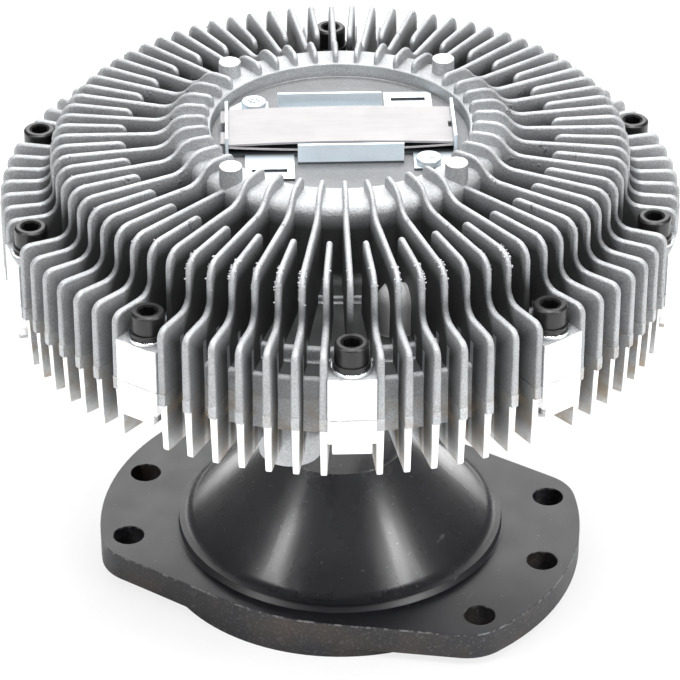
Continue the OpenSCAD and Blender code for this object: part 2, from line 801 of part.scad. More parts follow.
module cover_seal() {
    color([0.13, 0.13, 0.14]) rotate_extrude() intersection() {
        translate([groove_mid_r, seam_z - groove_h / 2]) circle(d = groove_w - 2 * rest_gap);
        translate([groove_mid_r - groove_w, seam_z - groove_h]) square([2 * groove_w, groove_h]);
    }
}

module cap_screws() {
    color([0.08, 0.08, 0.09]) in_housing() around(screw_count, screw_circle_r) difference() {
        rotate_extrude() polygon([
            [0, screw_low_z], [screw_d / 2 - head_chamfer, screw_low_z],
            [screw_d / 2, screw_low_z + head_chamfer], [screw_d / 2, head_low_z],
            [head_d / 2, head_low_z], [head_d / 2, head_high_z - head_chamfer],
            [head_d / 2 - head_chamfer, head_high_z], [0, head_high_z]
        ]);
        translate([0, 0, head_high_z - socket_h]) cylinder(d = socket_d, h = socket_h + bite, $fn = 6);
        translate([0, 0, head_high_z - socket_mouth_h])
            cylinder(d1 = socket_d, d2 = socket_mouth_d, h = socket_mouth_h);
    }
}

module lock_washers() {
    color([0.1, 0.1, 0.11]) in_housing() around(screw_count, screw_circle_r) difference() {
        ring(screw_hole_r - 2 * fit_gap, lock_d / 2, lug_z + washer_t, head_low_z);
        translate([0, 0, lug_z + washer_t + lock_t / 2]) rotate([lock_slit_tilt, 0, lock_turn])
            translate([0, -lock_slit_w / 2, -lock_t - bite]) cube([lock_d, lock_slit_w, 2 * (lock_t + bite)]);
    }
}

module flat_washers() {
    color([0.82, 0.83, 0.85]) in_housing() around(screw_count, screw_circle_r)
        ring(screw_hole_r - fit_gap, washer_d / 2, lug_z, lug_z + washer_t);
}

module reservoir_plate() {
    color([0.66, 0.68, 0.7]) in_bracket() difference() {
        rod(plate_r, ceiling_z, plate_top_z);
        translate([arm_front, 0, 0]) rod(valve_r, ceiling_z - bite, plate_top_z + bite);
        translate([rivet_back - arm_back, 0, 0]) rod(rivet_r + fit_gap, ceiling_z - bite, plate_top_z + bite);
        rotate([0, 0, -90]) around(plate_screw_count, plate_screw_circle_r, plate_screw_turn)
            rod(plate_screw_d / 2 + fit_gap, ceiling_z - bite, plate_top_z + bite);
    }
}

module plate_screws() {
    color([0.75, 0.76, 0.78]) in_housing() around(plate_screw_count, plate_screw_circle_r, plate_screw_turn) {
        rod(plate_screw_d / 2, ceiling_z - plate_screw_head_h, ceiling_z + plate_screw_l - rest_gap);
        rod(plate_screw_head_r, ceiling_z - plate_screw_head_h, ceiling_z);
    }
}

module valve_rivet() {
    color([0.75, 0.76, 0.78]) in_bracket() translate([rivet_back - arm_back, 0, 0]) {
        rod(rivet_r, ceiling_z - rivet_head_h, plate_top_z + arm_t + rivet_lift + rivet_head_h);
        rod(rivet_head_r, ceiling_z - rivet_head_h, ceiling_z);
        rod(rivet_head_r, plate_top_z + arm_t + rivet_lift, plate_top_z + arm_t + rivet_lift + rivet_head_h);
    }
}

module valve_arm() {
    color([0.78, 0.79, 0.8]) in_bracket() difference() {
        slab(plate_top_z, plate_top_z + arm_t) {
            translate([-arm_back, -arm_w / 2]) square([arm_back + arm_front, arm_w]);
            translate([arm_front, 0]) circle(r = valve_r + valve_overlap);
        }
        translate([rivet_back - arm_back, 0, 0])
            rod(rivet_r + hole_gap, plate_top_z - bite, plate_top_z + arm_t + bite);
    }
}

module control_pin() {
    color([0.8, 0.81, 0.83]) {
        rod(pin_r, pin_low_z + pin_r, pin_high_z - pin_r);
        for (end_z = [pin_low_z + pin_r, pin_high_z - pin_r]) translate([0, 0, end_z]) sphere(r = pin_r);
    }
}

module pin_seal() {
    color([0.13, 0.13, 0.14])
        ring(pin_r + pin_gap, pin_r + pin_seal_w - fit_gap, recess_z - pin_seal_h, recess_z - rest_gap);
}

// Outline of the bracket's base: the strip bed, one side tab's root, a slotted foot and a screw foot
module bracket_half_outline() {
    translate([-bracket_l / 2, -end_w / 2]) square([bracket_l, end_w / 2]);
    translate([side_shift - side_w / 2, -side_span / 2]) square([side_w, side_span / 2]);
    intersection() {
        union() {
            translate([foot_left, -foot_reach]) square([foot_right - foot_left, foot_reach]);
            translate([bracket_screw_x, -bracket_screw_y]) polygon([
                [-screw_foot_inner, bracket_screw_y], [-screw_foot_inner, -screw_foot_front],
                [screw_foot_outer - screw_foot_cut, -screw_foot_front],
                [screw_foot_outer, screw_foot_cut - screw_foot_front], [screw_foot_outer, bracket_screw_y]
            ]);
        }
        circle(r = recess_r - foot_room);
    }
}

module bimetal_bracket() {
    color([0.75, 0.79, 0.83]) in_bracket() difference() {
        union() {
            slab(recess_z, sheet_z) for (turn = [0, 180]) rotate(turn) bracket_half_outline();
            for (turn = [0, 180]) rotate([0, 0, turn]) {
                translate([-bracket_l / 2, -end_w / 2, recess_z]) cube([sheet_t, end_w, upturn_h]);
                translate([side_shift - side_w / 2, -side_span / 2, recess_z])
                    cube([side_w, sheet_t, upturn_h]);
            }
        }
        rod(pin_hole_r, recess_z - bite, sheet_z + bite);
        for (turn = [0, 180]) rotate([0, 0, turn]) {
            translate([bracket_screw_x, -bracket_screw_y, 0])
                rod(bracket_screw_d / 2 + fit_gap, recess_z - bite, sheet_z + bite);
            translate([slot_x - slot_l / 2, slot_y - slot_w / 2, recess_z - bite])
                cube([slot_l, slot_w, sheet_t + 2 * bite]);
        }
        for (end = tongues())
            translate([end.x * bracket_l / 2, end.y, upper_strip_mid_z])
                cube([2 * (sheet_t + bite), tongue_w + 2 * rest_gap, strip_t + 2 * rest_gap], center = true);
    }
}

// Ends and offsets of the upper strip's tongues, a pair at each end
function tongues() = [for (end = [-1, 1]) for (side = [-1, 1]) [end, side * tongue_y]];

// Reach of a tongue past the strip's end: through the end plate at one end, flush with it at the other
function tongue_reach(end) = sheet_t + rest_gap + (end < 0 ? tongue_l : 0);

// Side view of a bowed strip: its ends at zero height, its middle raised or lowered by the bow
module bowed_strip_outline(bow) {
    turn = bow_r(strip_l, abs(bow));
    mid = bow > 0 ? bow - turn : bow + turn;
    intersection() {
        translate([-strip_l / 2, -abs(bow) - strip_t]) square([strip_l, 2 * abs(bow) + 2 * strip_t]);
        difference() {
            translate([0, mid]) circle(r = turn + strip_t / 2, $fn = arc_fn);
            translate([0, mid]) circle(r = turn - strip_t / 2, $fn = arc_fn);
        }
    }
}

module upper_bimetal_strip() {
    color([0.82, 0.81, 0.8]) in_bracket() {
        difference() {
            translate([0, strip_w / 2, upper_strip_mid_z]) rotate([90, 0, 0])
                linear_extrude(strip_w) bowed_strip_outline(upper_bow);
            translate([strip_l / 2, 0, upper_strip_mid_z])
                cube([2 * notch_l, notch_w, 2 * strip_t + upper_bow], center = true);
        }
        for (end = tongues())
            translate([end.x * (strip_l + tongue_reach(end.x) - sheet_t) / 2, end.y, upper_strip_mid_z])
                cube([tongue_reach(end.x) + sheet_t, tongue_w, strip_t], center = true);
    }
}

module lower_bimetal_strip() {
    color([0.74, 0.73, 0.72]) in_bracket() translate([0, strip_w / 2, lower_strip_mid_z])
        rotate([90, 0, 0]) linear_extrude(strip_w) bowed_strip_outline(-lower_bow);
}

module bracket_screws() {
    color([0.82, 0.84, 0.86]) in_bracket() for (turn = [0, 180]) rotate([0, 0, turn])
        translate([bracket_screw_x, -bracket_screw_y, 0]) {
            rod(bracket_screw_d / 2, sheet_z - bracket_screw_l, sheet_z + pan_h);
            rod(pan_d / 2, sheet_z, sheet_z + pan_h);
        }
}

drive_hub();
bearing_inner_ring();
rotor_disc();
bearing_balls();
bearing_cage();
rear_body();
front_cover();
bearing_outer_ring();
bearing_seals();
bearing_retaining_ring();
cover_seal();
cap_screws();
lock_washers();
flat_washers();
reservoir_plate();
plate_screws();
valve_rivet();
pin_seal();
bimetal_bracket();
bracket_screws();
upper_bimetal_strip();
lower_bimetal_strip();
control_pin();
valve_arm();
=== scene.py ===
# %% [markdown]
# # A viscous fan clutch in Blender
# The clutch sits between an engine and its cooling fan. A black steel hub is bolted to the engine, and a finned
# aluminium housing turns around it. The exact solids come in as a fixed frame, and this lesson dresses them:
# rounded cast fins, turned and blackened steel, zinc-plated sheet, and plain studio light. Lengths are written in
# millimetres and multiplied by MM where Blender needs metres.

# %% Load the frame
import math
import random

import bmesh
import bpy
from mathutils import Matrix, Vector


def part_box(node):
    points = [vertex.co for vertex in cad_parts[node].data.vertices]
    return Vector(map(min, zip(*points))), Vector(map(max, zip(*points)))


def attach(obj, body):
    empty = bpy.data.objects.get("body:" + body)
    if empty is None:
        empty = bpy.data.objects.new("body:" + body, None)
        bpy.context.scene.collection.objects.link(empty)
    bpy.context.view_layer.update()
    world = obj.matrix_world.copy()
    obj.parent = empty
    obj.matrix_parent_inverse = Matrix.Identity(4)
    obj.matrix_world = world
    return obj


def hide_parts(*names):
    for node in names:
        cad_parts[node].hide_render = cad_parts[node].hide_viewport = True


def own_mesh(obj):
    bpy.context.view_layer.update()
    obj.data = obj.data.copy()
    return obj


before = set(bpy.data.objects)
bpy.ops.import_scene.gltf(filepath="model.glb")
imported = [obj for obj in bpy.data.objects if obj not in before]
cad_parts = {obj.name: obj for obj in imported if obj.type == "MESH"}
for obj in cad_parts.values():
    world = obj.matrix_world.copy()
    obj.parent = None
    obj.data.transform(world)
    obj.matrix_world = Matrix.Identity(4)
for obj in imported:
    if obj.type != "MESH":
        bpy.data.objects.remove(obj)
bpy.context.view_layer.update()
MM = 0.001

# %% [markdown]
# ## Camera
# The photograph was taken with a long lens from about 1.4 metres away, 32 degrees above the fins. A long lens keeps
# the circles of the housing close to true ellipses. The place and the lens were fitted to the ten cover screws,
# which lie on one circle, so the frame lands on the photograph with no shift.

# %% Camera
CAMERA_TURN = 21
CAMERA_LIFT = 32.213
camera_data = bpy.data.cameras.new("camera")
camera_data.sensor_width = 36
camera_data.lens = 173.46
camera = bpy.data.objects.new("camera", camera_data)
camera.location = (0.4104, -1.0692, 0.8263)
camera.rotation_euler = (math.radians(90 - CAMERA_LIFT), 0, math.radians(CAMERA_TURN))
bpy.context.scene.collection.objects.link(camera)
bpy.context.scene.camera = camera
bpy.context.scene.view_settings.view_transform = "Standard"
print("camera:", round(camera.location.length, 3), "m from the seat face")

# %% [markdown]
# ## Shader maths
# A finish is a small sum: so much grain, a little more wear here, less there. Written as nodes and links, such a
# sum is hard to read. This class wraps one output socket, so that the sum is written in Python and each operator
# adds its Math node. Every other node comes from one method, which sets the node's options before its sockets.


# %% A wire from a shader node
class Wire:
    def __init__(self, tree, socket):
        self.tree = tree
        self.socket = socket

    def node(self, kind, options, sockets, out=0):
        made = self.tree.nodes.new("ShaderNode" + kind)
        for name, value in options.items():
            if name == "stops":
                while len(made.color_ramp.elements) < len(value):
                    made.color_ramp.elements.new(1)
                for element, (place, shade) in zip(made.color_ramp.elements, value):
                    element.position = place
                    element.color = (shade, shade, shade, 1)
            else:
                setattr(made, name, value)
        for key, value in sockets.items():
            if isinstance(value, Wire):
                self.tree.links.new(value.socket, made.inputs[key])
            else:
                made.inputs[key].default_value = value
        return Wire(self.tree, made.outputs[out])

    def math(self, operation, other=0.0):
        return self.node("Math", {"operation": operation}, {0: self, 1: other})

    def __add__(self, other):
        return self.math("ADD", other)

    def __sub__(self, other):
        return self.math("SUBTRACT", other)

    def __rsub__(self, other):
        return self.node("Math", {"operation": "SUBTRACT"}, {0: other, 1: self})

    def __mul__(self, other):
        return self.math("MULTIPLY", other)

    def __truediv__(self, other):
        return self.math("DIVIDE", other)

    def __gt__(self, other):
        return self.math("GREATER_THAN", other)

    def __lt__(self, other):
        return self.math("LESS_THAN", other)

    __radd__ = __add__
    __rmul__ = __mul__

    def ramp(self, *stops):
        return self.node("ValToRGB", {"stops": stops}, {0: self})

    def noise(self, scale, detail=3, stretch=(1, 1, 1)):
        place = self.node("Mapping", {}, {"Vector": self, "Scale": stretch})
        return self.node("TexNoise", {}, {"Vector": place, "Scale": scale, "Detail": detail})

    def blend(self, low, high):
        return self.node("Mix", {"data_type": "RGBA"}, {0: self, 6: low, 7: high}, out=2)

    def bump(self, strength, distance):
        return self.node("Bump", {}, {"Height": self, "Strength": strength, "Distance": distance})


print("shader maths ready:", Wire.__name__)

# %% [markdown]
# ## Starting a finish
# Each finish starts from the place of a point on the object, in the object's own coordinates, so a pattern stays on
# its piece when the piece turns. Height along the shaft and distance from it say where on the clutch a point lies,
# and a fade between two heights or distances makes a soft mask.


# %% Helpers for finishes
def new_finish(name):
    finish = bpy.data.materials.new(name)
    finish.use_nodes = True
    tree = finish.node_tree
    shader = tree.nodes["Principled BSDF"]
    place = Wire(tree, tree.nodes.new("ShaderNodeTexCoord").outputs["Object"])
    return finish, shader, place


def feed(shader, **sockets):
    for name, value in sockets.items():
        socket = shader.inputs[name.replace("_", " ").title()]
        if isinstance(value, Wire):
            value.tree.links.new(value.socket, socket)
        else:
            socket.default_value = value


def grey(value, warm=0.0):
    return (value * (1 + warm), value, value * (1 - warm), 1)


def fade(value, low, high, start, end):
    return value.node("MapRange", {}, {0: value, 1: low, 2: high, 3: start, 4: end})


def along(place, axis):
    return place.node("SeparateXYZ", {}, {0: place}, out=axis) / MM


def flattened(place):
    return place.node("VectorMath", {"operation": "MULTIPLY"}, {0: place, 1: (1, 1, 0)})


def from_shaft(place):
    return place.node("VectorMath", {"operation": "LENGTH"}, {0: flattened(place)}, out="Value") / MM


def turned_place(place, angle):
    return place.node("Mapping", {}, {"Vector": place, "Rotation": (0, 0, angle)})


print("a cool grey is", tuple(round(value, 3) for value in grey(0.5, -0.02)))

# %% [markdown]
# ## Where the castings are bright, and a painted highlight
# Both halves of the housing are die castings. The outer edges of the rear fins, the faces of the screw lugs and the
# tops of the posts were cut on a lathe afterwards, so they are bright. Distance from the shaft and height tell turned
# metal from cast, because the lathe cut the edges down to one slightly tapered surface. One domed boss on the cover
# is painted a lighter grey, a painted highlight.

# %% Turned faces and the dome
SEAM_Z, BAND_LOW_Z, TIP_Z = 155.2, 149.6, 128.2
EDGE_TOP_R, EDGE_LOW_R = 134.5, 133.7
LUG_R, POST_TOP_Z, POST_ZONE_R = 136.4, 212.2, 68
DOME_R, DOME_TOP_Z, DOME_ROUND = 7.2, 190.7, 7.1
DOME_RING, DOME_TURN = 99, 10.3
HOUSING_TURN = -67.1


def turned_by(degrees):
    return Matrix.Rotation(math.radians(degrees), 4, "Z")


def lathe_cut(height, radius):
    below_band = height < BAND_LOW_Z - 0.05
    taper = (EDGE_TOP_R - EDGE_LOW_R) / (BAND_LOW_Z - TIP_Z)
    fin_edge = below_band * (radius > EDGE_TOP_R - 0.45 - (BAND_LOW_Z - height) * taper)
    lug_face = radius > LUG_R - 0.2
    post_top = (radius < POST_ZONE_R) * (height > POST_TOP_Z - 0.3)
    return (lug_face + post_top).math("MAXIMUM", fin_edge)


def on_dome(place, height):
    centre = turned_by(HOUSING_TURN + DOME_TURN) @ Vector((DOME_RING * MM, 0, 0))
    sockets = {0: flattened(place), 1: centre}
    aside = place.node("VectorMath", {"operation": "DISTANCE"}, sockets, out="Value") / MM
    above = (height - (DOME_TOP_Z - DOME_ROUND)).math("MAXIMUM", 0)
    return aside * aside + above * above < (DOME_R + 0.2) ** 2


print("lathe cut down to a radius of", EDGE_LOW_R, "mm, dome", DOME_RING, "mm from the shaft")

# %% [markdown]
# ## Painted shade and light, stain and wear on the castings
# Painted shade darkens the gaps between the fins: the tone falls with the depth below a crest or behind the rim. The
# ledge edges and the rear fan bosses are kept out of that painted shade, so the ledge edges stand as painted
# highlights, and the tips of the rear fins get painted light from the white floor. A brown stain runs along the joint
# of the two halves, and a few spots near the centre are torn where metal stuck to the mould.

# %% Painted shade, unshaded ledges, painted floor light, stain and torn spots
MAIN_Z, OUTER_Z, RIM_R = 203.5, 182.9, 135.8
BOSS_R, COLLAR_R, DECK_R, LEDGE_R = 66.5, 78.5, 112, 123
GAPS_R = 117


# Painted shade: the tone falls with the depth below a crest or behind the rim.
def painted_gap_shade(height, radius):
    crest = fade(radius, 111, 121, MAIN_Z, OUTER_Z)
    above_tip = (height - (TIP_Z - 0.2)) * (height < SEAM_Z) * 0.45
    under_crest = (crest - height).math("MAXIMUM", above_tip)
    behind_rim = (RIM_R + 0.2 - radius) * 1.2
    depth = behind_rim.math("MINIMUM", under_crest * (1.15 + (radius < 113) * 0.45))
    return fade(depth, 1.2, 12, 0, 0.97)


# Places kept out of the painted shade: the rear fan bosses, and the ledge edges, which then stand as painted
# highlights.
def unshaded_ledges(height, radius):
    ledges = (radius < GAPS_R) * (height < 143)
    for ring in (COLLAR_R, DECK_R - 0.6, LEDGE_R - 0.8):
        ledges = ledges + ((radius - ring) * (radius - ring) < 1.7) * (height < 174.5)
    return ledges


# Painted light from the white floor on the tips of the rear fins.
def painted_floor_light(height, radius):
    return fade(height, TIP_Z + 0.8, 145, 0.45, 0) * (radius > GAPS_R)


def seam_stain(place, height, radius):
    grime = place.noise(160, 4).ramp((0.46, 0.0), (0.7, 1.0))
    return grime * fade(height, 146, 160, 1, 0) * (radius > GAPS_R) * 0.7


def torn_spots(place, height, radius):
    torn = place.noise(420, 3).ramp((0.46, 0.0), (0.6, 1.0))
    patches = place.noise(120, 2).ramp((0.64, 0.0), (0.68, 1.0))
    return patches * torn * (radius > BOSS_R + 0.5) * (radius < 95) * (height > 183)


print("crests at", MAIN_Z, "and", OUTER_Z, "mm")

# %% [markdown]
# ## Cast aluminium
# The castings were shot-blasted to an even satin grey with a fine grain. Each mask lays one more tone over that grey,
# from the painted shade in the gaps, through a painted highlight on the dome, painted light on the rear fin tips and
# painted shade in the recess, up to the bright turned faces. A list keeps the layers in order, and a loop blends them.

# %% Cast aluminium
COOL = -0.02
RECESS_R, RECESS_Z = 51.5, 200.2


def cast_finish(name, tone):
    finish, shader, place = new_finish(name)
    height, radius = along(place, "Z"), from_shaft(place)
    grain, cloud = place.noise(1500, 4), place.noise(55, 3)
    dome, turned = on_dome(place, height), lathe_cut(height, radius)
    kept_from_shade = (dome + unshaded_ledges(height, radius)).math("MINIMUM", 1)
    chips = torn_spots(place, height, radius)
    # The floor of the recess, which gets painted shade.
    sunk = (radius < RECESS_R - 0.2) * (height < RECESS_Z + 0.5)
    colour = (cloud * 0.35 + grain * 0.65).ramp((0.4, 0.0), (0.62, 1.0)).blend(
        grey(tone * 0.82, COOL), grey(tone * 1.18, COOL))
    layers = [
        # painted shade in the gaps, lifted on the dome, the ledge edges and the rear fan bosses
        (painted_gap_shade(height, radius) * (1 - kept_from_shade), grey(tone * 0.2, COOL)),
        # painted highlight: the dome in a lighter grey
        (dome, grey(0.62)),
        # painted light from the white floor on the rear fin tips
        (painted_floor_light(height, radius), grey(0.8)),
        (chips * 0.5, grey(tone * 0.15)),
        # painted shade on the floor of the recess
        (sunk * 0.5, grey(tone * 0.4, COOL)),
        (seam_stain(place, height, radius) * (1 - turned), (tone * 0.75, tone * 0.6, tone * 0.42, 1)),
        (turned, grey(0.84)),
    ]
    for mask, shade in layers:
        colour = mask.blend(colour, shade)
    feed(shader, base_color=colour, metallic=0.9, roughness=0.6 + grain * 0.16 - turned * 0.3,
         normal=(grain * 0.7 + cloud * 0.3 + chips).bump(0.55, 0.0008))
    return finish


cover_finish = cast_finish("cast_aluminium_cover", 0.45)
# The body's tone is higher than the cover's: painted light from the white floor below its fins.
body_finish = cast_finish("cast_aluminium_body", 0.52)
print("cast finishes:", cover_finish.name, body_finish.name)

# %% [markdown]
# ## Places that light hardly reaches
# The sockets of the ten screws, the sheet below the strips and the sheet's cut edges lie in shade, and a mask paints
# that shade into their colour. For the sockets, the angle around the shaft is folded onto half the step from one
# screw to the next, and the cosine rule then gives the distance from the nearest screw.

# %% Masks of painted shade
SCREWS, SCREW_CIRCLE = 10, 128
SOCKET_R, SOCKET_LOW_Z = 4.2, 160
STRIP_TURN = math.radians(-22.9)
BRACKET_HALF, SHEET_Z = 44.3, 201.2
SHADOW_HALF, SHADOW_END = 15, 21


# Painted shade in the sockets of the cover screws.
def in_socket(place):
    radius = from_shaft(place)
    turn = along(place, "Y").math("ARCTAN2", along(place, "X")) - math.radians(HOUSING_TURN)
    off = turn.math("PINGPONG", math.radians(180 / SCREWS))
    gap = radius * radius + SCREW_CIRCLE ** 2 - radius * off.math("COSINE") * 2 * SCREW_CIRCLE
    return (gap < SOCKET_R ** 2) * (along(place, "Z") > SOCKET_LOW_Z) * 0.8


# Painted shadow of the strips on the sheet below them, and painted shade on the sheet's cut edges and slot walls.
def under_strip(place):
    lying = turned_place(place, STRIP_TURN)
    x, y, z = (along(lying, axis) for axis in "XYZ")
    shadow = fade(y.math("ABSOLUTE"), SHADOW_HALF, SHADOW_END, 0.95, 0)
    shadow = shadow * (z < SHEET_Z + 0.3) * (x * x < BRACKET_HALF ** 2)
    cut_edge = (z < SHEET_Z) * 0.85
    return cut_edge.math("MAXIMUM", shadow)


print("sockets on a circle of", SCREW_CIRCLE, "mm radius")

# %% [markdown]
# ## Steel, zinc and rubber
# The other finishes differ mostly in colour and gloss. One function makes them all: a base tone broken up by a soft
# cloud, a fine grain that may be drawn out along one direction as rolling or grinding does, and a matching bump.
# Where a mask of painted shade is given, it takes the tone down and the gloss away.


# %% Plain metal and rubber finishes
def metal_finish(name, low, high, roughness, metallic=1.0, grain=900, stretch=(1, 1, 1), bump=0.15, turn=0.0,
                 painted_shade=None):
    finish, shader, place = new_finish(name)
    fine = turned_place(place, turn).noise(grain, 3, stretch)
    cloud = place.noise(90, 3)
    colour = (fine * 0.5 + cloud * 0.5).ramp((0.35, 0.0), (0.68, 1.0)).blend(low, high)
    gloss = roughness + (fine - 0.5) * 0.18
    if painted_shade:
        # Painted shade: a black tone with little gloss.
        mask = painted_shade(place)
        colour = mask.blend(colour, grey(0.003))
        gloss = gloss + mask * 0.5
        metallic = mask * (1 - metallic) + metallic
    feed(shader, base_color=colour, metallic=metallic, roughness=gloss, normal=fine.bump(bump, 0.0003))
    return finish


bearing_finish = metal_finish("bearing_steel", grey(0.5), grey(0.66), 0.2)
rotor_finish = metal_finish("rotor_aluminium", grey(0.55), grey(0.7), 0.38, stretch=(1, 1, 6))
brass_finish = metal_finish("cage_brass", (0.45, 0.33, 0.13, 1), (0.66, 0.5, 0.22, 1), 0.35)
rubber_finish = metal_finish("seal_rubber", grey(0.02), grey(0.035), 0.62, metallic=0.0, grain=1500)
spring_finish = metal_finish("phosphated_spring", grey(0.06), grey(0.12), 0.5)
valve_finish = metal_finish("valve_steel", grey(0.48), grey(0.62), 0.34, stretch=(0.15, 1, 1))
zinc_finish = metal_finish("bright_zinc", (0.7, 0.71, 0.73, 1), (0.86, 0.87, 0.89, 1), 0.24)
zinc_screw_finish = metal_finish("blue_zinc_screw", (0.5, 0.55, 0.58, 1), (0.62, 0.67, 0.7, 1), 0.34,
                                 metallic=0.55, bump=0.02)
sheet_finish = metal_finish("blue_zinc_sheet", (0.62, 0.7, 0.76, 1), (0.74, 0.82, 0.88, 1), 0.36,
                            metallic=0.45, grain=2000, bump=0.02, painted_shade=under_strip)
strip_finish = metal_finish("bimetal_strip", (0.27, 0.26, 0.262, 1), (0.32, 0.31, 0.312, 1), 0.55,
                            metallic=0.15, grain=700, stretch=(0.06, 1, 1), bump=0.02, turn=STRIP_TURN)
fastener_finish = metal_finish("black_oxide_fastener", grey(0.003), grey(0.008), 0.36, metallic=0.0, bump=0.12,
                               painted_shade=in_socket)
print("finishes so far:", len(bpy.data.materials))

# %% [markdown]
# ## Black oxide
# The hub was turned from steel and blackened in a hot salt bath. Its skin is nearly black with a slight brown cast,
# glossy enough to draw long streaks of light along the cone, and it shows lathe rings, specks and a few scratches.
# The cone was polished after turning, which a clear coat stands for, and the flange's edges are nicked by handling.

# %% Wear on the hub
FLANGE_TOP_Z, FLANGE_EDGE_R = 16, 74
hub_finish, hub_shader, hub_place = new_finish("black_oxide_hub")
hub_height, hub_radius = along(hub_place, "Z"), from_shaft(hub_place)
flange_edge = (hub_radius > FLANGE_EDGE_R) * (hub_height < FLANGE_TOP_Z - 0.6)
flange_rim = (hub_height > FLANGE_TOP_Z - 0.8) * (hub_height < FLANGE_TOP_Z - 0.03)
specks = hub_place.noise(520, 2).ramp((0.71, 0.0), (0.75, 1.0)) * 0.4
scratches = hub_place.noise(190, 4, (1, 0.1, 1)).ramp((0.72, 0.0), (0.76, 1.0)) * 0.4
sand = hub_place.noise(800, 3).ramp((0.56, 0.0), (0.66, 1.0)) * flange_edge * 0.25
nicks = hub_place.noise(330, 4).ramp((0.48, 0.0), (0.6, 1.0)) * flange_rim
wear = specks.math("MAXIMUM", scratches).math("MAXIMUM", sand + nicks)
print("wear on the hub:", len(hub_finish.node_tree.nodes), "nodes")

# %% Black oxide on the hub
CONE_LOW_Z, CONE_HIGH_Z = 20, 38
feed_marks = hub_radius * 6.0 + hub_height * 6.0
lathe_rings = feed_marks.math("SINE")
polished_cone = fade(hub_height, CONE_LOW_Z, CONE_HIGH_Z, 0, 1)
brown = hub_place.noise(40, 4).ramp((0.45, 0.0), (0.7, 1.0)) * flange_edge * 0.7
skin = brown.blend((0.012, 0.012, 0.015, 1), (0.05, 0.034, 0.024, 1))
feed(hub_shader, base_color=wear.blend(skin, grey(0.16)), metallic=0.0,
     coat_weight=polished_cone, coat_roughness=0.24,
     roughness=hub_place.noise(70, 4) * 0.16 + 0.2 + (hub_height < CONE_LOW_Z) * 0.1,
     normal=(lathe_rings * 0.12 + hub_place.noise(700, 3)).bump(0.1, 0.0002))
print("hub finish:", hub_finish.name)

# %% [markdown]
# ## Making a piece
# Every new piece is shaped in a bmesh, joined at doubled points, turned outwards, and written to a mesh whose place
# is in its points. It then rides on one body of the frame, and says which exact solids it stands for. Weighted
# normals keep the flat faces flat beside their rounded edges.


# %% From a bmesh to a piece
def make_piece(name, shape, body, slot, finish, *stands_for):
    bmesh.ops.remove_doubles(shape, verts=shape.verts, dist=0.004 * MM)
    bmesh.ops.recalc_face_normals(shape, faces=shape.faces)
    mesh = bpy.data.meshes.new(name)
    shape.to_mesh(mesh)
    shape.free()
    mesh.shade_smooth()
    mesh.set_sharp_from_angle(angle=math.radians(38))
    mesh.materials.append(finish)
    piece = bpy.data.objects.new(name, mesh)
    bpy.context.scene.collection.objects.link(piece)
    weighted = piece.modifiers.new("weighted_normals", "WEIGHTED_NORMAL")
    weighted.keep_sharp = True
    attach(piece, body)
    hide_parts(*stands_for)
    triangles = sum(len(face.vertices) - 2 for face in mesh.polygons)
    print(name, "has", triangles, "triangles and stands for", stands_for)
    return piece


# %% [markdown]
# ## Building blocks
# A casting is stacked from a few kinds of parts: outlines with rounded corners, turned forms that are such an outline
# spun around the shaft, and rounded blocks. Each corner of an outline is given as distance from the shaft, height
# and rounding.


# %% Rounded outlines, turned forms and blocks
def round_off(shape, geom, width, segments, affect="EDGES", clamp=False):
    bmesh.ops.bevel(shape, geom=geom, offset=width * MM, offset_type="OFFSET", segments=segments, profile=0.5,
                    affect=affect, material=-1, clamp_overlap=clamp)


def rounded_outline(corners, segments=4):
    shape = bmesh.new()
    points = [shape.verts.new((radius * MM, 0, height * MM)) for radius, height, rounding in corners]
    shape.faces.new(points)
    for point, (radius, height, rounding) in zip(points, corners):
        if rounding:
            round_off(shape, [point], rounding, segments, affect="VERTICES")
    return shape


def add_turned(shape, corners, steps=180):
    outline = rounded_outline(corners)
    bmesh.ops.delete(outline, geom=outline.faces[:], context="FACES_ONLY")
    bmesh.ops.spin(outline, geom=outline.verts[:] + outline.edges[:], cent=(0, 0, 0), axis=(0, 0, 1),
                   dvec=(0, 0, 0), angle=math.tau, steps=steps, use_merge=True, use_duplicate=False)
    add_shape(shape, outline)


def add_shape(shape, part, place=Matrix.Identity(4)):
    mesh = bpy.data.meshes.new("part")
    part.to_mesh(mesh)
    part.free()
    add_mesh(shape, mesh, place)
    bpy.data.meshes.remove(mesh)


def add_mesh(shape, mesh, place):
    copy = mesh.copy()
    copy.transform(place)
    shape.from_mesh(copy)
    bpy.data.meshes.remove(copy)


def rounded_block(low, high, rounding, segments=2):
    part = bmesh.new()
    bmesh.ops.create_cube(part, size=1)
    low, high = Vector(low) * MM, Vector(high) * MM
    bmesh.ops.scale(part, vec=high - low, verts=part.verts)
    bmesh.ops.translate(part, vec=(low + high) / 2, verts=part.verts)
    round_off(part, part.edges[:], rounding, segments)
    return part


def outwards(distance):
    return Matrix.Translation((distance * MM, 0, 0))


print("a part 100 mm out sits at", outwards(100).translation[:])

# %% [markdown]
# ## Fins
# A die-cast fin is thicker at its root, because it has to leave the mould, and its crest is rounded by the blasting.
# Each fin starts as one flat outline. Rounding its corners gives the steps of the crest, an extrusion gives the two
# sides, the draft moves the sides apart towards the root, and a bevel along the crest makes it round. A last small
# bevel where the two halves of the housing meet leaves the fine groove of the joint.

# %% One fin
GROOVE = 0.25


def at_seam(height):
    return abs(height / MM - SEAM_Z) < 0.01


def is_crest(edge):
    flanks = [abs(face.normal.y) > 0.9 for face in edge.link_faces]
    middle = (edge.verts[0].co + edge.verts[1].co) / 2
    return flanks.count(True) == 1 and not at_seam(middle.z)


